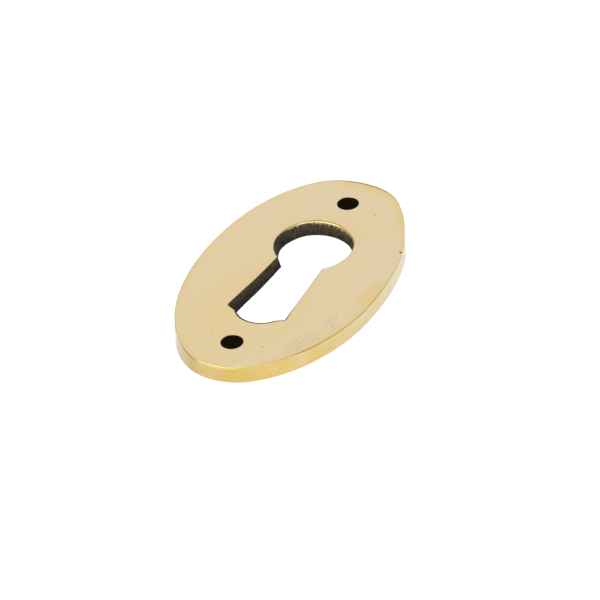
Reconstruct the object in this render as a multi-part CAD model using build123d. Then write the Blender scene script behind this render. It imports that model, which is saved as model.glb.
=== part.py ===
from build123d import *
import os
from math import radians, tan

# Sizes in millimetres and degrees. X is across the plate, Y runs from the
# foot of the keyhole to its head, Z comes out of the front face.

# Plate
plate_length = 51.0  # tip to tip of the oval
plate_width = 30.4
plate_thickness = 2.5
front_rim_radius = 0.3  # polished round along the front of the oval

# Screw holes, one near each tip
screw_hole_diameter = 3.4
screw_hole_inset = 6.45  # tip of the oval to the centre of the hole

# Keyhole, sizes taken on the front face
keyhole_height = 27.1  # top of the head to the bottom of the foot
keyhole_corner_radius = 0.45  # upright corners of the opening
keyhole_rim_radius = 0.25  # polished round along its front edge
head_diameter = 12.4
head_draft = 8.5  # the cast head narrows towards the back
slot_head_width = 6.75  # between the slot's sides at the centre of the head
slot_shoulder_width = 9.5  # between the slot's sides where they end
slot_draft = 3.0  # for the slot and its foot
shoulder_height = 2.4  # outer ends of the shoulders above the foot's bottom
shoulder_apex_height = 0.3  # where the shoulders would meet above the foot's bottom
foot_diameter = 7.8

# Cutting shapes run out of the back by this much
overrun = 0.5

# The plate is drawn face down, so its front is at Z = 0 until it is turned over
cut_depth = plate_thickness + overrun
head_centre = keyhole_height / 2 - head_diameter / 2
foot_bottom = -keyhole_height / 2
foot_centre = foot_bottom + foot_diameter / 2
screw_hole_centre = plate_length / 2 - screw_hole_inset


def narrowing_bore(diameter, draft, seam_angle):
    # round bore that starts at the front face and narrows towards the back
    back_radius = diameter / 2 - cut_depth * tan(radians(draft))
    from_front = (Align.CENTER, Align.CENTER, Align.MIN)
    return Rot(Z=seam_angle) * Cone(diameter / 2, back_radius, cut_depth, align=from_front)


def flared_slot():
    # slot that widens from the head down to two shoulders sloping into the foot
    profile = Polygon(
        (slot_head_width / 2, head_centre),
        (-slot_head_width / 2, head_centre),
        (-slot_shoulder_width / 2, foot_bottom + shoulder_height),
        (0, foot_bottom + shoulder_apex_height),
        (slot_shoulder_width / 2, foot_bottom + shoulder_height),
        align=None,
    )
    return extrude(profile, amount=cut_depth, taper=slot_draft)


def keyhole_opening():
    # head, slot and foot as one opening, its upright corners rounded;
    # the seams of both bores lie inside the slot
    head = Pos(Y=head_centre) * narrowing_bore(head_diameter, head_draft, -90)
    foot = Pos(Y=foot_centre) * narrowing_bore(foot_diameter, slot_draft, 90)
    opening = head + flared_slot() + foot
    corners = opening.edges().filter_by(lambda edge: edge.bounding_box().size.Z > cut_depth / 2)
    return fillet(corners, keyhole_corner_radius)


def escutcheon_plate():
    # oval plate with a polished round along its front rim
    outline = Ellipse(plate_width / 2, plate_length / 2)
    plate = extrude(outline, amount=plate_thickness)
    plate = fillet(plate.edges().group_by(Axis.Z)[0], front_rim_radius)

    # a screw hole near each tip
    screw_hole = Cylinder(screw_hole_diameter / 2, 2 * cut_depth)
    plate -= Pos(Y=screw_hole_centre) * screw_hole
    plate -= Pos(Y=-screw_hole_centre) * screw_hole

    # keyhole in the middle, its front edge the longest opening in the front face
    plate -= keyhole_opening()
    front_openings = plate.faces().sort_by(Axis.Z)[0].inner_wires()
    keyhole_edge = front_openings.sort_by(SortBy.LENGTH)[-1]
    plate = fillet(keyhole_edge.edges(), keyhole_rim_radius)

    # turned over to lie on its back
    return Pos(Z=plate_thickness) * Rot(Y=180) * plate


os.makedirs("parts", exist_ok=True)
export_step(escutcheon_plate(), "parts/escutcheon_plate.step")
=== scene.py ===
import math
import bpy
import numpy as np
from mathutils import Matrix, Vector


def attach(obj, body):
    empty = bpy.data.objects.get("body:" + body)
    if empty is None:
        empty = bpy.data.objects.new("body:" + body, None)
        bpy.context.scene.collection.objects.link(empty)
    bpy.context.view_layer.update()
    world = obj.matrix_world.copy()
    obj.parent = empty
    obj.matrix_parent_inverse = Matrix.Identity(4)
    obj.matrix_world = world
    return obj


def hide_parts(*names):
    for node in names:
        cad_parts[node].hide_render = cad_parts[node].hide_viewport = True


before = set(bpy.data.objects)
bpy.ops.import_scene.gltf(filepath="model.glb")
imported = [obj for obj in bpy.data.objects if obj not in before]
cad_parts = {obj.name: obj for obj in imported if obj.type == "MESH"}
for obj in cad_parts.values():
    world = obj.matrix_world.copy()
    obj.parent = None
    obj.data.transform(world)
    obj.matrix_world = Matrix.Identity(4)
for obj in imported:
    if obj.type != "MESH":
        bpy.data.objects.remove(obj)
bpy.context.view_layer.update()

mm = 0.001
noSkin = -9.0                                    # a skinDepth well clear of the dark skin
onBrass, onSkin, onBack, onBore = range(4)       # order of the finishes on the mesh
rng = np.random.default_rng(41)
print("frame loaded, nodes:", sorted(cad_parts))

# Plate: lengths in mm, origin in the middle of the back face,
# +Y towards the keyhole's head, +Z out of the polished front
plate = {
    "length": 51.0, "width": 30.4, "thickness": 2.5, "backRim": 0.03,     # the last rounds the back edge
    # the oval was filed by hand: pairs of angle round it from +X, and mm (or a share) there
    "filed": ((0, -0.02), (14, 0.02), (26, 0.03), (31, 0.0), (36, -0.18), (44, -0.27), (58, -0.05),
              (65, 0.17), (74, 0.14), (84, -0.10), (93, -0.17), (117, 0.06), (147, 0.03), (174, -0.13),
              (213, -0.14), (221, -0.18), (231, 0.02), (241, 0.18), (256, 0.20), (272, -0.04),
              (283, -0.05), (303, -0.17), (343, 0.14), (352, 0.03)),
    "topInset": ((6, 0.18), (15, 0.08), (25, 0.14), (35, 0.16), (45, 0.05), (220, 0.05), (231, 0.25),
                 (240, 0.44), (250, 0.29), (278, 0.27), (286, 0.50), (292, 0.52), (307, 0.38), (314, 0.58),
                 (320, 0.36), (341, 0.18), (348, 0.08)),       # front edge inside the back edge
    "frontRim": ((14, 0.10), (60, 0.15), (72, 0.6), (84, 1.1), (100, 1.1), (112, 0.20), (225, 0.20),
                 (236, 0.09), (257, 0.18), (264, 0.32), (280, 0.40), (285, 0.06), (301, 0.18), (305, 0.06),
                 (311, 0.06), (316, 0.22), (330, 0.28)),       # radius of the polished round
    "frontRimEnd": ((12, 0.10), (238, 0.09), (256, 0.25), (280, 0.25), (286, 0.06), (310, 0.06),
                    (318, 0.22), (330, 0.25)),                 # where it turns into the side
    "rimTurn": 38,                                             # tilt at which a rim's big arc ends
    # painted highlight and shade: the round is darker along dark crease lines and lighter for a highlight
    "edgeHighlightAndShade": ((64, 1.0), (78, 0.55), (104, 0.52), (114, 1.0), (240, 1.0), (246, 0.72), (258, 0.72),
                 (262, 1.15), (282, 1.15), (290, 1.0)),        # painted brightness of the polished round
    # partly painted reflection: the round's gold is paler under its highlight and richer along its dark
    # lines
    "edgeTarnishAndSheen": ((0, 1.0), (8, 0.8), (20, 0.7), (44, 0.9), (106, 0.95), (116, 0.7), (250, 0.7),
                    (258, 0.45), (282, 0.45), (302, 0.55), (312, 1.0)),   # rich gold on it and on the face
    "goldTilt": 5,                                             # a rim is all gold past this tilt
    "sideWave": (0.012, 9),                                    # how deep, and over how many columns
    # the side's gold is partly painted reflection: richer where it reflects darker floor, paler where
    # lighter
    "tarnishAndReflection": ((20, 0.07), (60, 0.1), (120, 0.3), (234, 0.28), (245, 0.53), (255, 0.84), (265, 0.70),
                (285, 1.0), (296, 0.95), (309, 0.83), (316, 0.6), (325, 0.83),
                (335, 0.57)),                                  # rich gold on the side
    # painted shade and reflection on the side: its brightness by angle
    "paintedLight": ((5, 0.94), (15, 0.91), (30, 0.77), (60, 1.0), (225, 0.95), (234, 0.70), (240, 0.66),
             (250, 0.80), (255, 0.74), (262, 0.88), (285, 0.91), (300, 0.97)),   # brightness of the side
    "faceTint": ((0, 0.45), (12, 0.35), (36, 0.40), (44, 0.70), (66, 0.60), (84, 0.80), (104, 0.80),
                 (116, 0.50), (180, 0.40), (240, 0.60), (262, 0.80), (290, 0.80), (305, 0.50)),
    "faceTintReach": 0.9,                                      # the face yellows towards its edge
    "keyTint": ((12, 0.08), (36, 0.30), (56, 0.30), (80, 0.15), (120, 0.22), (180, 0.38), (250, 0.32),
                (262, 0.15), (285, 0.18), (300, 0.08)),
    "keyTintReach": 2.4,                                       # and towards the keyhole
    # the keyhole: heights of its head's centre, shoulders and foot's apex, and how its corners are eased
    # (mm, and columns for the filing); slotTop and slotFoot are half widths at the head's centre and the
    # shoulders; the front edge is filed and the back edge smaller, by angles round the head's centre
    "headCentre": 7.35, "shoulderHeight": 2.4, "apexHeight": 0.3, "cornerSoft": 0.10, "filedSoft": 10,
    "front": {
        "head": 6.2, "slotTop": 3.375, "slotFoot": 4.75, "footBottom": -13.55, "foot": 3.9,
        "filed": ((0, 0.05), (30, 0.05), (58, -0.22), (70, -0.27), (98, -0.31), (108, -0.20), (146, -0.21),
                  (168, -0.09), (192, 0.0), (230, 0.03), (234, -0.08), (243, -0.11), (250, -0.07),
                  (254, 0.13), (257, 0.36), (263, -0.03), (270, -0.13), (276, -0.06), (279, 0.05),
                  (284, -0.04), (289, 0.20), (305, 0.37), (312, 0.20))},
    "back": {
        "head": 5.565, "slotTop": 3.244, "slotFoot": 4.619, "footBottom": -13.42, "foot": 3.77,
        "filed": ((46, 0.38), (78, 0.19), (102, 0.15), (134, 0.21), (154, 0.12), (182, 0.22), (212, 0.08),
                  (226, -0.04), (235, 0.03), (239, -0.05), (250, -0.14), (254, -0.04), (284, 0.0),
                  (296, 0.20), (305, 0.25))},
    # its polished rim: radius, radius where it turns into the wall, and its wander (share, columns)
    "keyRim": ((30, 0.15), (46, 0.20), (58, 0.28), (70, 0.42), (80, 0.62), (145, 0.62), (154, 0.38),
               (178, 0.12), (258, 0.09), (264, 0.65), (270, 0.75), (280, 0.75), (284, 0.45), (287, 0.12)),
    "keyRimEnd": 0.10, "keyRimWander": (0.05, 16),
    "keyHighlightAndShade": ((0, 0.95), (56, 0.95), (66, 0.85), (76, 0.85), (82, 1.0), (104, 1.0), (112, 0.85),
                (122, 0.9), (129, 1.4), (142, 1.4), (152, 1.2), (160, 1.0), (258, 1.0), (264, 0.4),
                (281, 0.4), (286, 0.9)),                                  # painted brightness of that rim
    # that rim is rich gold; where it carries a painted highlight, a thin painted dark line and then a
    # paler stripe of painted highlight follow its tilt
    "keyShine": ((64, 0.0), (80, 1.0), (150, 1.0), (165, 0.0), (250, 0.0), (260, 1.0), (284, 1.0),
                 (294, 0.0)),
    "keyLine": ((0, 0.0), (6, 0.4), (13, 0.2), (19, 0.0)),
    "keyStripe": ((14, 0.0), (22, 0.6), (40, 0.6), (55, 0.0)),
    "wallTone": 0.55, "wallTarnish": 1.0,                                 # bare metal below it
    # the dark skin: how deep below the face it starts, how softly, and how long the comb of bare metal is
    "skinStart": ((46, 0.25), (98, 0.21), (108, 0.15), (120, 0.17), (146, 0.20), (182, 0.04), (260, 0.02),
                  (330, 0.05)),
    "skinSoft": ((46, 0.22), (66, 0.16), (80, 0.08), (280, 0.02)),
    "skinComb": ((0, 0.06), (70, 0.44), (98, 0.46), (108, 0.38), (150, 0.32), (180, 0.06), (300, 0.0)),
    "combNoise": (0.8, 3.0, 1.3),                 # columns it runs over, how hard its edges, how thin
    # casting strokes down the wall: depth, two noises (share, columns), how soon below the rim they are
    # at full depth, and how much of it they lose towards the back
    "strokeDepth": 0.022, "strokes": ((0.65, 0.7), (0.35, 1.6)), "strokeStart": 5, "strokeFade": 0.3,
    # the face rolls off within a reach of both edges; hand buffing left waves along x and y (radians a mm
    # and start) and one across them (radians a mm of x and y)
    "keyRoll": 0.03, "keyRollReach": 0.5, "ovalRoll": 0.035, "ovalRollReach": 0.8, "faceWave": 0.003,
    "waveX": (0.55, 1.3), "waveY": (0.41, 0.4), "crossWave": (1.1, -0.7), "crossShare": 0.6,
    # plain screw holes with a drilling burr at the back; their wall's roughness as depth and columns
    "screwRadius": 1.7, "screwCentre": 19.05, "screwRim": 0.09, "boreRough": (0.012, 2.0),
    "burr": 0.38, "burrHeight": 0.5, "burrLip": 0.01, "holeTarnish": 0.7,
    # the grid: columns along the foot, shoulder, slot and head of one side and mm between them, where its
    # spokes meet, rows across each band, powers that crowd rows at the keyhole, the oval and the screw
    # holes, the block that each screw hole takes out, and mm in one unit of the wall's map
    "steps": (44, 11, 125, 180), "columnStep": 0.107, "heart": 1.0,
    "wallRows": 18, "rimRows": 6, "sideRows": 10, "underRows": 3, "lipRows": 4,
    "faceRows": (9, 12), "backRows": (4, 5), "collarRows": 7, "boreRows": 10,
    "crowding": (1.5, 1.6), "collarCrowding": 1.5, "blockRows": 10, "blockHalf": 20,
    "faceBlock": (0.235, 0.675), "backBlock": (0.27, 0.69), "mapUnit": 100,
    "fineSoft": 3, "midSoft": 4, "broadSoft": 6,               # columns that a table is averaged over
}


def smoothLoop(values, sigma):
    # a closed loop averaged with a bell curve, sigma counted in steps of the loop
    bell = np.exp(-2 * (math.pi * sigma * np.fft.rfftfreq(len(values))) ** 2)
    bell = bell.reshape((-1,) + (1,) * (values.ndim - 1))
    return np.fft.irfft(np.fft.rfft(values, axis=0) * bell, len(values), axis=0)


def loopNoise(count, sigma):
    # seeded noise round a closed loop, scaled to lie between -1 and 1
    raw = smoothLoop(rng.standard_normal(count), sigma)
    return raw / np.abs(raw).max()


def atAngle(turn, pairs, sigma):
    # a value given at a few angles, joined by straight lines round the full turn and averaged
    angles, values = np.array(pairs).T
    return smoothLoop(np.interp(turn, angles, values, period=360), sigma)


def lineMeetsCircle(a, b, centre, radius):
    # where the line from a to b leaves the circle: the larger root of its square equation
    d, f = b - a, a - centre
    qa, qb, qc = d @ d, 2 * f @ d, f @ f - radius ** 2
    return a + d * (-qb + math.sqrt(qb * qb - 4 * qa * qc)) / (2 * qa)


def arcPoints(centre, radius, start, end, count):
    # points on a circle from one angle to the other
    t = np.linspace(start, end, count)
    return centre + radius * np.stack([np.cos(t), np.sin(t)], 1)


def loopNormal(loop):
    # the chord between a point's two neighbours, turned a quarter so that it leads away from the opening
    along = np.roll(loop, -1, 0) - np.roll(loop, 1, 0)
    along /= np.linalg.norm(along, axis=1)[:, None]
    return np.stack([along[:, 1], -along[:, 0]], 1)


def keyholeOutline(p, level):
    # foot arc, shoulder, slot side and head arc end to end, each cut into its own number of equal steps,
    # mirrored for the left side, corners eased by the moving average, then filed along a normal
    # that turns slowly past each corner, so that the metal there never folds
    head, foot = np.array([0, p["headCentre"]]), np.array([0, level["footBottom"] + level["foot"]])
    slotTop = np.array([level["slotTop"], p["headCentre"]])
    shoulder = np.array([level["slotFoot"], level["footBottom"] + p["shoulderHeight"]])
    apex = np.array([0, level["footBottom"] + p["apexHeight"]])
    neck = lineMeetsCircle(slotTop, shoulder, head, level["head"])
    join = lineMeetsCircle(apex, shoulder, foot, level["foot"])
    footSteps, shoulderSteps, slotSteps, headSteps = p["steps"]
    right = np.concatenate([
        arcPoints(foot, level["foot"], -math.pi / 2, math.atan2(*(join - foot)[::-1]), footSteps + 1),
        np.linspace(join, shoulder, shoulderSteps + 1)[1:],
        np.linspace(shoulder, neck, slotSteps + 1)[1:],
        arcPoints(head, level["head"], math.atan2(*(neck - head)[::-1]), math.pi / 2, headSteps + 1)[1:]])
    loop = np.concatenate([right, right[-2:0:-1] * (-1, 1)])
    loop = smoothLoop(loop, p["cornerSoft"] / p["columnStep"])
    polar = np.degrees(np.arctan2(loop[:, 1] - p["headCentre"], loop[:, 0])) % 360
    slowNormal = loopNormal(smoothLoop(loop, p["filedSoft"]))
    return loop + slowNormal * atAngle(polar, level["filed"], p["fineSoft"])[:, None], polar


def ovalAlongSpokes(p, loop):
    # each spoke runs from the plate's heart past its eased keyhole point and meets the oval
    # (x / b)^2 + (y / a)^2 = 1; the oval's normal there is (x / b^2, y / a^2) at unit length
    a, b = p["length"] / 2, p["width"] / 2
    ray = smoothLoop(loop, p["filedSoft"]) - (0, p["heart"])
    qa = (ray[:, 0] / b) ** 2 + (ray[:, 1] / a) ** 2
    qb = 2 * p["heart"] * ray[:, 1] / a ** 2
    qc = (p["heart"] / a) ** 2 - 1
    oval = (0, p["heart"]) + ray * ((-qb + np.sqrt(qb ** 2 - 4 * qa * qc)) / (2 * qa))[:, None]
    out = oval / (b ** 2, a ** 2)
    out /= np.linalg.norm(out, axis=1)[:, None]
    turn = np.degrees(np.arctan2(oval[:, 1] / a, oval[:, 0] / b)) % 360
    return oval + out * atAngle(turn, p["filed"], p["midSoft"])[:, None], out, turn


def faceSteps(p, rows, blockSpan):
    # shares of the way from keyhole to oval: a power of even steps at both edges, which crowds them there,
    # and even steps across the screw hole's block
    (first, last), (low, high), (inner, outer) = rows, blockSpan, p["crowding"]
    start = np.linspace(0, 1, first + 1) ** inner * low
    end = 1 - np.linspace(1, 0, last + 1)[1:] ** outer * (1 - high)
    return np.concatenate([start, np.linspace(low, high, p["blockRows"] + 1)[1:], end])


def carried(path, normal, offset, height):
    # a profile carried round the path: each row is the path pushed along its normal by offset, at height
    offset, height, _ = np.broadcast_arrays(offset, height, path[None, :, 0])
    return np.concatenate([path + normal * offset[..., None], height[..., None]], -1)


def faceHeight(p, xy, fromKey, fromOval):
    # the front: flat, rolled off exponentially towards both edges, less the long slow waves of hand
    # buffing, which are sines of x and y lowered so that none stands above the thickness
    x, y = xy[..., 0], xy[..., 1]
    (rateX, startX), (rateY, startY), (crossX, crossY) = p["waveX"], p["waveY"], p["crossWave"]
    wave = np.sin(rateX * x + startX) * np.sin(rateY * y + startY) - 1
    wave += p["crossShare"] * (np.sin(crossX * x + crossY * y) - 1)
    keyRoll = p["keyRoll"] * np.exp(-fromKey / p["keyRollReach"])
    ovalRoll = p["ovalRoll"] * np.exp(-fromOval / p["ovalRollReach"])
    return p["thickness"] - keyRoll - ovalRoll + p["faceWave"] * wave


def gridQuads(rows):
    # quads between neighbouring rows of vertex numbers, columns joined up, facing out of the metal
    a, b = rows[:-1], rows[1:]
    return np.stack([a, b, np.roll(b, -1, 1), np.roll(a, -1, 1)], -1)


def roundedEdge(big, small, tilt, turn):
    # run and drop of an edge rounded by two arcs: the big one up to a tilt of turn, the small one beyond
    first, second = np.minimum(tilt, turn), np.maximum(tilt, turn)
    run = big * np.sin(first) + small * (np.sin(second) - math.sin(turn))
    drop = big * (1 - np.cos(first)) + small * (math.cos(turn) - np.cos(second))
    return run, drop


def plateGrid(p):
    # one closed cross-section carried round the keyhole: up its wall, over the rim, across the face along
    # the spokes, round the oval's edge, down its side and back underneath
    thick, turnTilt = p["thickness"], math.radians(p["rimTurn"])
    loop, polar = keyholeOutline(p, p["front"])
    away = keyholeOutline(p, p["back"])[0] - loop
    fine, mid, broad = p["fineSoft"], p["midSoft"], p["broadSoft"]
    into, count = loopNormal(smoothLoop(loop, mid)), len(loop)
    oval, out, turn = ovalAlongSpokes(p, loop)
    much, over = p["keyRimWander"]
    keyRim = atAngle(polar, p["keyRim"], mid) * (1 + much * loopNoise(count, over))
    keyRimEnd = np.minimum(keyRim, p["keyRimEnd"])
    edgeRim, edgeRimEnd = (atAngle(turn, p[k], broad) for k in ("frontRim", "frontRimEnd"))
    inset = atAngle(turn, p["topInset"], mid)
    strokes = sum(share * loopNoise(count, over) for share, over in p["strokes"])
    over, hard, thin = p["combNoise"]
    comb = (0.5 + 0.5 * np.tanh(hard * loopNoise(count, over))) ** thin
    much, over = p["sideWave"]
    wander = much * (loopNoise(count, over) - 1)
    part = np.linspace(0, 1, p["rimRows"] + 1)[1:, None]

    # wall: straight from the back edge up to the rim, scored by casting strokes that fade at the rim
    tilt = np.concatenate([turnTilt * part, turnTilt + (math.pi / 2 - turnTilt) * part])
    run, drop = roundedEdge(keyRim, keyRimEnd, tilt, turnTilt)
    share = np.linspace(1, 0, p["wallRows"])[:, None]
    depth = drop[-1] + (thick - drop[-1]) * share
    scored = np.minimum(1, share * p["strokeStart"]) * (1 - p["strokeFade"] * share)
    scored = p["strokeDepth"] * strokes * scored
    wall = carried(loop, into, scored, thick - depth)
    wall[..., :2] += away * (depth / thick)[..., None]

    # rim: rounded from the wall up to the face
    run, drop, keyWidth = run[-2::-1], drop[-2::-1], run[-1]
    rimTilt = tilt[-2::-1]
    rim = carried(loop, into, keyWidth - run, thick - drop - p["keyRoll"] * np.cos(rimTilt))
    rim[..., :2] += away * (drop / thick)[..., None]

    # side: straight from the inset front edge to the back edge under a front rounded like the rim
    lean = np.arctan(inset / (thick - p["backRim"]))
    edgeTilt = np.concatenate([np.broadcast_to(turnTilt * part, (len(part), count)),
                               turnTilt + (math.pi / 2 - turnTilt - lean) * part])
    run, drop = roundedEdge(edgeRim, edgeRimEnd, edgeTilt, turnTilt)
    reach = inset + run[-1] - drop[-1] * np.tan(lean)
    edge = carried(oval, out, wander * np.sin(edgeTilt) - reach + run,
                   thick - drop - p["ovalRoll"] * np.cos(edgeTilt))
    share = np.linspace(0, 1, p["sideRows"] + 1)[1:, None]
    top, start = edge[-1, :, 2], run[-1] - reach
    side = carried(oval, out, wander + start * (1 - share), top + (p["backRim"] - top) * share)
    tilt = np.linspace(0, math.pi / 2, p["underRows"] + 1)[1:, None]
    under = carried(oval, out, wander * np.cos(tilt) - p["backRim"] * (1 - np.cos(tilt)),
                    p["backRim"] * (1 - np.sin(tilt)))

    # face and back: straight spokes between the two edges
    inner, outer = loop + into * keyWidth[:, None], oval - out * reach[:, None]
    share = faceSteps(p, p["faceRows"], p["faceBlock"])[:, None]
    span = np.linalg.norm(outer - inner, axis=1)
    xy = inner[None] + (outer - inner)[None] * share[..., None]
    fromOval = (1 - share) * span
    face = np.concatenate([xy, faceHeight(p, xy, share * span, fromOval)[..., None]], -1)
    backInner, backOuter = wall[0, :, :2], under[-1, :, :2]
    share = faceSteps(p, p["backRows"], p["backBlock"])[-2:0:-1, None, None]
    back = np.concatenate([backInner + (backOuter - backInner) * share,
                           np.zeros((len(share), count, 1))], -1)

    bands = [wall, rim, face, edge, side, under, back]
    starts = np.cumsum([0] + [len(b) for b in bands])
    grid = np.concatenate(bands)
    shape = grid.shape[:2]
    # paint: edgeGold is none on the flat face and full on rims and side; how rich that gold is (partly
    # painted reflection) and how bright (painted highlights, shade and reflection on rims and side), and
    # skinDepth runs from -1 to 1 where the dark skin takes over
    gold, tarnishAndReflection, skin = np.ones(shape), np.zeros(shape), np.full(shape, noSkin)
    # painted highlights, shade and reflection: how bright each band is
    paintedLight = np.broadcast_to(atAngle(turn, p["paintedLight"], fine), shape).copy()
    paintedLight[:starts[1]] = p["wallTone"]
    # painted highlight: where the rim shines, a painted dark line dims it and a paler stripe lightens its
    # gold
    shine = atAngle(polar, p["keyShine"], fine)
    line, stripe = (np.interp(np.degrees(rimTilt), *np.array(p[k]).T) for k in ("keyLine", "keyStripe"))
    paintedLight[starts[1]:starts[2]] = atAngle(polar, p["keyHighlightAndShade"], fine) * (1 - line * shine)
    paintedLight[starts[2]:starts[3]] = 1
    paintedLight[starts[3]:starts[4]] = atAngle(turn, p["edgeHighlightAndShade"], fine)
    gold[starts[2]:starts[3]] = np.maximum(
        atAngle(turn, p["faceTint"], broad) * np.exp(-fromOval / p["faceTintReach"]),
        atAngle(polar, p["keyTint"], broad) * np.exp((fromOval - span) / p["keyTintReach"]))
    goldTilt = math.radians(p["goldTilt"])
    gold[starts[1]:starts[2]] = np.maximum(gold[starts[2]], np.minimum(1, rimTilt / goldTilt))
    gold[starts[3]:starts[4]] = np.maximum(gold[starts[3] - 1], np.minimum(1, edgeTilt / goldTilt))
    # how rich the gold is: partly tarnish, partly painted reflection, and paler under painted highlights
    tarnishAndReflection[:starts[1]] = p["wallTarnish"]
    tarnishAndReflection[starts[1]:starts[2]] = 1 - stripe * shine
    tarnishAndReflection[starts[2]:starts[3] + p["rimRows"]] = atAngle(turn, p["edgeTarnishAndSheen"], fine)
    tarnishAndReflection[starts[3] + p["rimRows"]:starts[6]] = atAngle(turn, p["tarnishAndReflection"], fine)
    low, length, soft = (atAngle(polar, p[k], mid) for k in ("skinStart", "skinComb", "skinSoft"))
    skin[:starts[2]] = (thick - grid[:starts[2], :, 2] - low - length * comb) / soft
    print("plate grid:", grid.shape[0], "rows of", count)
    return grid, starts, {"edgeGold": gold, "tarnishAndReflection": tarnishAndReflection, "paintedLight": paintedLight, "skinDepth": skin}


def blockOutline(rows, columns, count):
    # vertex numbers round a block of the grid, starting at its first row and column
    return np.concatenate([rows[0] * count + columns[:-1], rows[:-1] * count + columns[-1],
                           rows[-1] * count + columns[:0:-1], rows[:0:-1] * count + columns[0]])


def raysFrom(centre, points):
    # unit directions from the centre to the points, and how far each point is
    ray = points - centre
    far = np.linalg.norm(ray, axis=1)
    return ray / far[:, None], far


def screwHole(p, grid, starts, side):
    # a block of the grid round the hole is left out on both faces and bridged: rings that shrink from the
    # block's outline to a circle, over a small round, down the bore, in over the burr, and out again to the
    # block underneath; every ring is the centre plus a radius along the rays to the block's outline
    count, half = grid.shape[1], p["blockHalf"]
    middle = np.array([0, side * p["screwCentre"]])
    columns = ((count // 2 if side > 0 else 0) + np.arange(-half, half + 1)) % count
    frontRows = starts[2] + p["faceRows"][0] + np.arange(p["blockRows"] + 1)
    backRows = (starts[6] + p["backRows"][1] - 1 + np.arange(p["blockRows"] + 1))[::-1]
    frontLoop, backLoop = blockOutline(frontRows, columns, count), blockOutline(backRows, columns, count)
    flat = grid.reshape(-1, 3)
    ray, far = raysFrom(middle, flat[frontLoop, :2])
    centre = np.broadcast_to(middle, ray.shape)
    lip = p["screwRadius"] + p["screwRim"]

    share = (1 - np.linspace(1, 0, p["collarRows"] + 1)[1:] ** p["collarCrowding"])[:, None]
    collar = carried(centre, ray, far + (lip - far) * share, 0)
    farAway = p["screwCentre"]                     # too far from both edges for their roll to matter
    collar[..., 2] = faceHeight(p, collar[..., :2], farAway, farAway)
    tilt = np.linspace(0, math.pi / 2, p["lipRows"] + 1)[1:, None]
    lipRound = carried(centre, ray, lip - p["screwRim"] * np.sin(tilt),
                       collar[-1, :, 2] - p["screwRim"] * (1 - np.cos(tilt)))
    down = np.linspace(0, 1, p["boreRows"] + 1)[1:, None]
    height = lipRound[-1, :, 2] * (1 - down)
    much, over = p["boreRough"]
    rough = much * loopNoise(len(ray), over) * np.sin(math.pi * down)
    burr = p["burr"] * np.clip(1 - height / p["burrHeight"], 0, 1) ** 2
    bore = carried(centre, ray, p["screwRadius"] + rough - burr, height)

    rayBack, farBack = raysFrom(middle, flat[backLoop, :2])
    share = np.concatenate([[[p["burrLip"]]], share[:-1]])
    mix = ray + (rayBack - ray) * share[..., None]
    edge = p["screwRadius"] - p["burr"]
    reach = edge + (farBack - edge) * share
    below = np.concatenate([centre + mix * reach[..., None], np.zeros(reach.shape + (1,))], -1)
    rings = np.concatenate([collar, lipRound, bore, below])
    lengths = [len(collar), len(lipRound), len(bore), len(below)]
    kinds = np.repeat([onBrass, onBrass, onBore, onBack], lengths)
    return rings, kinds, (frontLoop, backLoop), (frontRows, backRows, columns)


def wallMap(p, grid):
    # map corners of the grid's quads: u is the run round the keyhole, v is the height
    rowCount, count = grid.shape[:2]
    u = np.arange(count + 1) * p["columnStep"] / p["mapUnit"]
    v = np.concatenate([grid[..., 2], grid[:1, :, 2]]) / p["mapUnit"]
    left, right = np.broadcast_to(u[:-1], (rowCount, count)), np.broadcast_to(u[1:], (rowCount, count))
    after = np.roll(v, -1, 1)
    return np.stack([np.stack([left, v[:-1]], -1), np.stack([left, v[1:]], -1),
                     np.stack([right, after[1:]], -1), np.stack([right, after[:-1]], -1)], 2)


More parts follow.
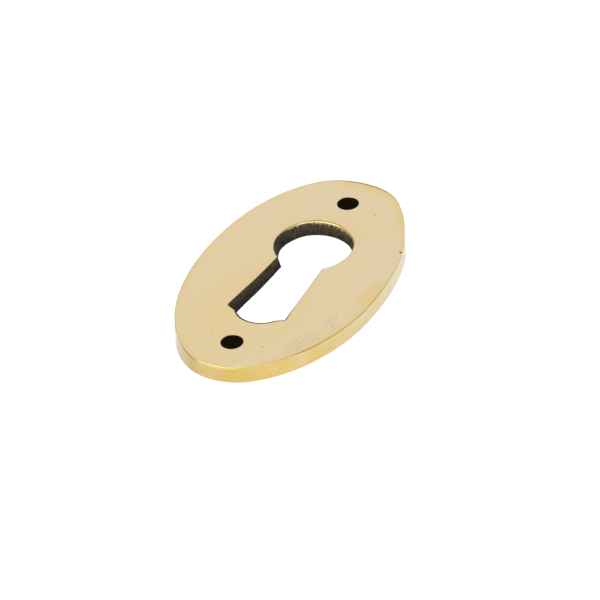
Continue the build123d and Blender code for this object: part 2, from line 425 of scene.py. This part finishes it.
def buildPlate(p):
    # the grid closed on itself from its last row to its first, with blocks on both faces swapped for the
    # rings of the screw holes
    grid, starts, paint = plateGrid(p)
    rowCount, count = grid.shape[:2]
    numbers = np.arange(rowCount * count).reshape(rowCount, count)
    quads = gridQuads(np.concatenate([numbers, numbers[:1]]))
    finish = np.full(quads.shape[:2], onBrass)
    finish[:starts[2]] = onSkin
    finish[starts[5]:] = onBack
    keep = np.ones(quads.shape[:2], bool)
    points = [grid.reshape(-1, 3)]
    paints = {name: [values.ravel()] for name, values in paint.items()}
    holeQuads, holeFinish = [], []
    for side in (1, -1):
        rings, kinds, loops, block = screwHole(p, grid, starts, side)
        (frontLoop, backLoop), (frontRows, backRows, columns) = loops, block
        keep[np.ix_(frontRows[:-1], columns[:-1])] = False
        keep[np.ix_(backRows[1:], columns[:-1])] = False
        first = sum(map(len, points))
        ringNumbers = first + np.arange(rings.shape[0] * rings.shape[1]).reshape(rings.shape[:2])
        bridge = np.concatenate([frontLoop[None], ringNumbers, backLoop[None]])
        holeQuads.append(gridQuads(bridge).reshape(-1, 4))
        holeFinish.append(np.repeat(np.concatenate([kinds, [onBack]]), rings.shape[1]))
        points.append(rings.reshape(-1, 3))
        pastCollar = np.repeat(np.arange(len(kinds)) >= p["collarRows"], rings.shape[1])
        paints["edgeGold"].append(pastCollar.astype(float))
        for name, value in (("tarnishAndReflection", p["holeTarnish"]), ("paintedLight", 1.0), ("skinDepth", noSkin)):
            paints[name].append(np.full(len(pastCollar), value))
    points = np.concatenate(points)
    faces = np.concatenate([quads[keep]] + holeQuads)
    finish = np.concatenate([finish[keep]] + holeFinish)
    corners = np.zeros((len(faces) * 4, 2), np.float32)
    corners[:keep.sum() * 4] = wallMap(p, grid)[keep].reshape(-1, 2)

    mesh = bpy.data.meshes.new("escutcheonPlate")
    mesh.from_pydata((points * mm).tolist(), [], faces.tolist())
    mesh.polygons.foreach_set("use_smooth", np.ones(len(faces), bool))
    mesh.polygons.foreach_set("material_index", finish.astype(np.int32))
    mesh.uv_layers.new(name="wallMap").data.foreach_set("uv", corners.ravel())
    for name, values in paints.items():
        attribute = mesh.attributes.new(name, "FLOAT", "POINT")
        attribute.data.foreach_set("value", np.concatenate(values).astype(np.float32))
    mesh.update()
    print("plate mesh:", len(points), "points,", len(faces), "quads")
    return mesh


# Finishes: colours are linear, places and lengths in mm on the face; a field is its place, turn and half
# sizes; a pattern is its noise's scale along each axis (for goldRagged, scratches and specks its size) and
# its turn; a bump is its strength and depth in metres
finishes = {
    "faceColour": (0.706, 0.573, 0.362), "faceWarm": (0.716, 0.569, 0.336),
    "faceCool": (0.697, 0.575, 0.380), "clouds": 0.22, "blotches": 0.55,
    # sunSide and sunColour: a painted warm light over the lower half of the face
    "sunSide": ((-2.0, -12.0), 0, (13.0, 16.0)), "sunColour": (0.712, 0.566, 0.312),
    "paleGold": (0.70, 0.625, 0.455), "richGold": (0.68, 0.485, 0.13),
    "streaks": (30, 700, 1), "streakBlotch": 0.4, "streakShare": 0.2,
    "fileMarks": (330, 25, 1), "fileShare": 0.06,
    "polish": 0.20, "sidePolish": 0.15, "polishSpread": 0.03,
    "buffGrain": ((0.7, 9.0, 9.0), -35), "grainBump": (0.05, 0.00002),
    "goldPatch": ((13.9, -0.6), 84, (5.4, 2.2)), "goldShare": 0.58, "goldRagged": ((0.5, 1.6, 1.0), -6),
    "scratches": ((0.11, 1.5, 1.0), -6), "scratchShare": 0.10,
    "buffMarks": (((9.4, -15.8), 76, (3.6, 1.9)), ((10.6, -13.2), 76, (2.4, 1.3)),
                  ((5.7, -16.1), 90, (1.6, 1.0)), ((2.8, -22.9), 70, (1.5, 0.7)),
                  ((-3.9, -17.9), 80, (1.1, 0.5))), "markShare": 0.8,
    "stipple": ((10.9, -9.2), 80, (2.8, 1.8)), "specks": ((0.22, 0.4, 1.0), -6), "speckShare": 0.5,
    "pits": ((5.32, 17.96, 0.17, 0.6), (4.75, -18.36, 0.18, 0.65), (12.03, -9.72, 0.18, 0.5),
             (11.49, -7.04, 0.12, 0.5), (8.92, -20.17, 0.16, 0.5),
             (13.34, 10.76, 0.27, 1.0)),                     # place, radius and how dark
    "markColour": (0.56, 0.42, 0.235), "pitColour": (0.13, 0.07, 0.022),
    "skinDark": (0.022, 0.017, 0.010), "skinLight": (0.148, 0.115, 0.078),
    "skinStrokes": (950, 75, 1), "skinRagged": (600, 160, 1), "raggedReach": 0.5,
    # painted shade: how light the skin is, as two places on an axis and the shares there
    "skinShadeX": (2.0, 6.0, 1.0, 0.25), "skinShadeY": (7.0, 11.0, 0.58, 1.0),
    "skinShadeZ": (0.3, 2.5, 0.62, 1.4),
    "skinRough": 0.35, "skinGloss": 0.02, "strokeBump": (0.4, 0.00005),      # skinRough adds to the polish
    "backColour": (0.66, 0.51, 0.27), "backDull": (0.50, 0.37, 0.19), "backClouds": 0.18,
    "beltMarks": ((7.0, 0.25, 1.0), 4), "beltColour": (0.40, 0.30, 0.16), "beltShare": 0.35,
    "backRough": (0.30, 0.48), "beltBump": (0.35, 0.00004),
    "boreDark": (0.015, 0.010, 0.003), "boreLight": (0.070, 0.020, 0.010),
    "boreGlint": ((-0.3, 20.75), 0, (0.75, 0.4)),                 # painted glint, on the far wall of the upper screw hole
    "drillMarks": (0.6, 0.6, 7.0), "boreRough": (0.45, 0.65), "boreGloss": 0.03,
}


class Nodes:
    # short hand for laying out one material's nodes left to right
    def __init__(self, name):
        self.material = bpy.data.materials.new(name)
        self.material.use_nodes = True
        self.tree = self.material.node_tree
        self.shader = self.tree.nodes["Principled BSDF"]
        self.count = 0

    def add(self, kind, links=(), **settings):
        node = self.tree.nodes.new(kind)
        node.location = (-1800 + 190 * (self.count % 9), 500 - 260 * (self.count // 9))
        self.count += 1
        for key, value in settings.items():
            setattr(node, key, value)
        for socket, source in dict(links).items():
            self.set(node, socket, source)
        return node

    def set(self, node, socket, source):
        if isinstance(source, bpy.types.NodeSocket):
            self.tree.links.new(source, node.inputs[socket])
        else:
            node.inputs[socket].default_value = source

    def math(self, operation, a, b=0.0):
        return self.add("ShaderNodeMath", {0: a, 1: b}, operation=operation).outputs[0]

    def remap(self, value, low, high, toLow=0.0, toHigh=1.0):
        # low to high spread smoothly over toLow to toHigh, and held beyond them
        links = {"Value": value, "From Min": low, "From Max": high, "To Min": toLow, "To Max": toHigh}
        return self.add("ShaderNodeMapRange", links, interpolation_type="SMOOTHSTEP").outputs[0]

    def blend(self, factor, a, b):
        node = self.add("ShaderNodeMix", data_type="RGBA")
        for socket, source in ((0, factor), (6, a), (7, b)):
            self.set(node, socket, source + (1,) if isinstance(source, tuple) else source)
        return node.outputs[2]

    def tinted(self, factor, share, a, b):
        # b laid over a by a share of the factor
        return self.blend(self.math("MULTIPLY", factor, share), a, b)

    def scaled(self, vector, factor):
        links = {0: vector, "Scale": factor}
        return self.add("ShaderNodeVectorMath", links, operation="SCALE").outputs[0]

    def noise(self, vector, detail, rough=0.5, scale=1.0):
        links = {"Vector": vector, "Scale": scale, "Detail": detail, "Roughness": rough}
        return self.add("ShaderNodeTexNoise", links).outputs["Fac"]

    def place(self, vector, scale, turn=0.0):
        links = {"Vector": vector, "Scale": scale, "Rotation": (0, 0, math.radians(turn))}
        return self.add("ShaderNodeMapping", links).outputs[0]

    def stretched(self, vector, size, turn=0.0):
        # a pattern whose features have these sizes along its own axes, turned as a whole
        links = {"Vector": vector, "Scale": size, "Rotation": (0, 0, math.radians(turn))}
        return self.add("ShaderNodeMapping", links, vector_type="TEXTURE").outputs[0]

    def attribute(self, name):
        return self.add("ShaderNodeAttribute", attribute_name=name).outputs["Fac"]

    def spot(self):
        # object coordinates in mm
        return self.place(self.add("ShaderNodeTexCoord").outputs["Object"], (1 / mm, 1 / mm, 1 / mm))

    def wallRun(self):
        # the map that runs round the keyhole and up the height
        return self.add("ShaderNodeUVMap", uv_map="wallMap").outputs[0]

    def patch(self, spot, place, turn, size, depth=2.0, soft=0.1):
        # one inside an oval pebble on the face with these half sizes and depth, falling from the share soft
        # of its size to none at its edge
        links = {"Vector": spot, "Location": place + (plate["thickness"],), "Scale": size + (depth,)}
        links["Rotation"] = (0, 0, math.radians(turn))
        inside = self.add("ShaderNodeMapping", links, vector_type="TEXTURE").outputs[0]
        length = self.add("ShaderNodeVectorMath", {0: inside}, operation="LENGTH").outputs["Value"]
        return self.remap(length, soft, 1.0, 1.0, 0.0)

    def shade(self, sockets, bump=None):
        # values and links of the shader's sockets, and a bump given as height, strength and depth
        for socket, source in sockets.items():
            self.set(self.shader, socket, source)
        if bump:
            links = dict(zip(("Height", "Strength", "Distance"), bump))
            self.set(self.shader, "Normal", self.add("ShaderNodeBump", links).outputs[0])
        return self.material


def brassLook(n, f):
    # colour, roughness and buffing grain of the polished metal: pale face with a painted warm light on its
    # lower half, gold rims and side; their brightness and richness carry painted highlights, shade and
    # reflection
    spot, run = n.spot(), n.wallRun()
    gold, tarnishAndReflection = n.attribute("edgeGold"), n.attribute("tarnishAndReflection")
    cloud, blotch = (n.noise(spot, detail=3.0, scale=f[k]) for k in ("clouds", "blotches"))
    face = n.blend(n.remap(cloud, 0.35, 0.65), f["faceCool"], f["faceColour"])
    face = n.blend(n.remap(blotch, 0.45, 0.75), face, f["faceWarm"])
    face = n.blend(n.patch(spot, *f["sunSide"], depth=9.0, soft=0.4), face, f["sunColour"])
    streak = n.noise(n.place(run, f["streaks"]), detail=3.0)
    streak = n.math("ADD", streak, n.math("MULTIPLY", blotch, f["streakBlotch"]))
    rich = n.math("ADD", tarnishAndReflection, n.remap(streak, 0.45, 0.95, -f["streakShare"], f["streakShare"]))
    filing = n.noise(n.place(run, f["fileMarks"]), detail=1.0)
    rich = n.math("ADD", rich, n.remap(filing, 0.3, 0.7, -f["fileShare"], f["fileShare"]))
    # the gold is scaled by its painted brightness: painted highlights, shade and reflection
    side = n.scaled(n.blend(rich, f["paleGold"], f["richGold"]), n.attribute("paintedLight"))
    grain = n.noise(n.place(spot, *f["buffGrain"]), detail=3.0)
    polish = n.remap(grain, 0.3, 0.7, f["polish"] - f["polishSpread"], f["polish"] + f["polishSpread"])
    rough = n.math("ADD", n.math("MULTIPLY", gold, f["sidePolish"] - f["polish"]), polish)
    return spot, n.blend(gold, face, side), rough, grain


def polishedBrass(f):
    # polished metal with a yellow patch at the rim, fields of fine buffing marks, a stippled patch and a
    # few casting pits
    n = Nodes("polishedBrass")
    spot, colour, rough, grain = brassLook(n, f)
    ragged = n.noise(n.stretched(spot, *f["goldRagged"]), detail=3.0)
    yellow = n.math("MULTIPLY", n.patch(spot, *f["goldPatch"]), n.remap(ragged, 0.15, 0.75))
    colour = n.tinted(yellow, f["goldShare"], colour, f["richGold"])
    scratch = n.noise(n.stretched(spot, *f["scratches"]), detail=1.0, rough=0.6)
    colour = n.tinted(n.remap(scratch, 0.35, 0.75), f["scratchShare"], colour, f["markColour"])
    for field in f["buffMarks"]:
        marks = n.math("MULTIPLY", n.patch(spot, *field), n.remap(scratch, 0.48, 0.64))
        colour = n.tinted(marks, f["markShare"], colour, f["markColour"])
    specks = n.noise(n.stretched(spot, *f["specks"]), detail=2.0, rough=0.6)
    specks = n.math("MULTIPLY", n.patch(spot, *f["stipple"]), n.remap(specks, 0.47, 0.62))
    colour = n.tinted(specks, f["speckShare"], colour, f["markColour"])
    for x, y, radius, dark in f["pits"]:
        pit = n.patch(spot, (x, y), 0, (radius, radius), depth=0.3, soft=0.5)
        colour = n.tinted(pit, dark, colour, f["pitColour"])
    return n.shade({"Base Color": colour, "Roughness": rough, "Metallic": 1.0}, (grain, *f["grainBump"]))


def castSkin(f):
    # dark casting skin with strokes down the wall, made darker to the right, along the slot and towards the
    # back by painted shade; the polish above it ends in a comb of strokes
    n = Nodes("castSkin")
    spot, colour, rough, _ = brassLook(n, f)
    run, reach = n.wallRun(), f["raggedReach"]
    strokes = n.noise(n.place(run, f["skinStrokes"]), detail=2.0, rough=0.6)
    ragged = n.noise(n.place(run, f["skinRagged"]), detail=3.0, rough=0.6)
    depth = n.math("ADD", n.attribute("skinDepth"), n.remap(ragged, 0.3, 0.7, -reach, reach))
    mask = n.remap(depth, -1.0, 1.0)
    skin = n.blend(n.remap(strokes, 0.38, 0.66), f["skinDark"], f["skinLight"])
    axes = n.add("ShaderNodeSeparateXYZ", {0: spot}).outputs
    # painted shade: the skin darkens to the right, along the slot and towards the back
    for axis in "XYZ":
        skin = n.scaled(skin, n.remap(axes[axis], *f["skinShade" + axis]))
    rough = n.math("ADD", n.math("MULTIPLY", mask, f["skinRough"]), rough)
    return n.shade({"Base Color": n.blend(mask, colour, skin), "Metallic": n.math("SUBTRACT", 1.0, mask),
                    "Roughness": rough, "Specular IOR Level": f["skinGloss"]}, (strokes, *f["strokeBump"]))


def groundBack(f):
    # flat back, ground on a belt: straight marks along the plate
    n = Nodes("groundBack")
    spot = n.spot()
    marks = n.noise(n.place(spot, *f["beltMarks"]), detail=4.0, rough=0.6)
    cloud = n.remap(n.noise(spot, detail=4.0, scale=f["backClouds"]), 0.35, 0.7)
    colour = n.blend(cloud, f["backColour"], f["backDull"])
    colour = n.tinted(n.remap(marks, 0.35, 0.7), f["beltShare"], colour, f["beltColour"])
    rough = n.remap(marks, 0.3, 0.7, *f["backRough"])
    return n.shade({"Base Color": colour, "Metallic": 1.0, "Roughness": rough}, (marks, *f["beltBump"]))


def screwBore(f):
    # dark wall of the screw holes, ringed by the drill, with one painted reddish glint just below the face
    n = Nodes("screwBore")
    spot = n.spot()
    drill = n.noise(n.place(spot, f["drillMarks"]), detail=3.0)
    glint = n.patch(spot, *f["boreGlint"], depth=1.0, soft=0.3)
    glint = n.math("MULTIPLY", glint, n.remap(drill, 0.3, 0.6, 0.5, 1.0))
    colour = n.blend(glint, f["boreDark"], f["boreLight"])
    rough = n.remap(drill, 0.3, 0.7, *f["boreRough"])
    return n.shade({"Base Color": colour, "Roughness": rough, "Specular IOR Level": f["boreGloss"]})


plateMesh = buildPlate(plate)
for finish in (polishedBrass, castSkin, groundBack, screwBore):     # onBrass, onSkin, onBack, onBore
    plateMesh.materials.append(finish(finishes))
plateObject = bpy.data.objects.new("escutcheonPlate", plateMesh)
bpy.context.collection.objects.link(plateObject)
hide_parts("escutcheon_plate")
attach(plateObject, "root")
print("plate finished")

# Stage: a pale sheet that glows to white, soft boxes and the camera; directions are from the plate
stage = {
    "floorHalf": 3.0, "sheet": (0.32, 0.32, 0.32), "sheetGlow": 0.91, "sheetRough": 0.9, "sheetGloss": 0.1,
    "sky": (1.0, 1.0, 1.0), "skyStrength": 0.60,
    # name: direction, distance in metres, width and height in metres, power in watts
    "boxes": {
        "farPanel": ((-0.402, 0.683, 0.609), 1.2, (0.64, 0.64), 0.65),
        "rightPanel": ((0.88, 0.30, 0.30), 1.1, (1.0, 0.7), 1.3),
        "frontPanel": ((0.10, -0.97, 0.18), 1.2, (1.2, 0.45), 1.2),
        "topStrip": ((-0.25, -0.24, 0.938), 0.9, (1.30, 0.68), 3.4),
    },
    "azimuth": 30.46, "elevation": 37.55, "roll": -4.41,   # of the camera, in degrees
    "lens": 192.0, "sensor": 36.0, "nearest": 0.01,
    "distance": 0.4923, "offset": (-0.001157, -0.00251),   # in metres, the offset across and down
}


def buildStage(s):
    # a square sheet under the plate, an even sky, and each box facing the plate along its direction
    h = s["floorHalf"]
    floorMesh = bpy.data.meshes.new("floor")
    floorMesh.from_pydata([(-h, -h, 0), (h, -h, 0), (h, h, 0), (-h, h, 0)], [], [(0, 1, 2, 3)])
    floorMesh.materials.append(Nodes("sheet").shade({
        "Base Color": s["sheet"] + (1,), "Roughness": s["sheetRough"], "Specular IOR Level": s["sheetGloss"],
        "Emission Color": (1, 1, 1, 1), "Emission Strength": s["sheetGlow"]}))
    floor = bpy.data.objects.new("floor", floorMesh)
    bpy.context.collection.objects.link(floor)

    world = bpy.data.worlds.new("studio")
    world.use_nodes = True
    background = world.node_tree.nodes["Background"]
    background.inputs["Color"].default_value = s["sky"] + (1,)
    background.inputs["Strength"].default_value = s["skyStrength"]
    bpy.context.scene.world = world
    for name, (direction, distance, size, power) in s["boxes"].items():
        light = bpy.data.lights.new(name, "AREA")
        light.shape, light.energy = "RECTANGLE", power
        light.size, light.size_y = size
        away = Vector(direction).normalized()
        across = (Vector((1, 0, 0)) - away * away.x).normalized()
        facing = Matrix((across, away.cross(across), away)).transposed().to_4x4()
        box = bpy.data.objects.new(name, light)
        box.matrix_world = Matrix.Translation(away * distance) @ facing
        bpy.context.collection.objects.link(box)


def placeCamera(s):
    # back along azimuth and elevation from the plate, turned by the roll, set off in the picture plane
    az, el, roll = (math.radians(s[k]) for k in ("azimuth", "elevation", "roll"))
    ahead = -Vector((math.sin(az) * math.cos(el), -math.cos(az) * math.cos(el), math.sin(el)))
    level = Vector((math.cos(az), math.sin(az), 0))
    under = ahead.cross(level)
    right = level * math.cos(roll) - under * math.sin(roll)
    down = level * math.sin(roll) + under * math.cos(roll)
    lens = bpy.data.cameras.new("camera")
    lens.lens, lens.sensor_width, lens.clip_start = s["lens"], s["sensor"], s["nearest"]
    camera = bpy.data.objects.new("camera", lens)
    spot = -(right * s["offset"][0] + down * s["offset"][1] + ahead * s["distance"])
    camera.matrix_world = Matrix.Translation(spot) @ Matrix((right, -down, -ahead)).transposed().to_4x4()
    bpy.context.collection.objects.link(camera)
    bpy.context.scene.camera = camera


buildStage(stage)
placeCamera(stage)
bpy.context.scene.view_settings.view_transform = "Standard"
print("stage ready")
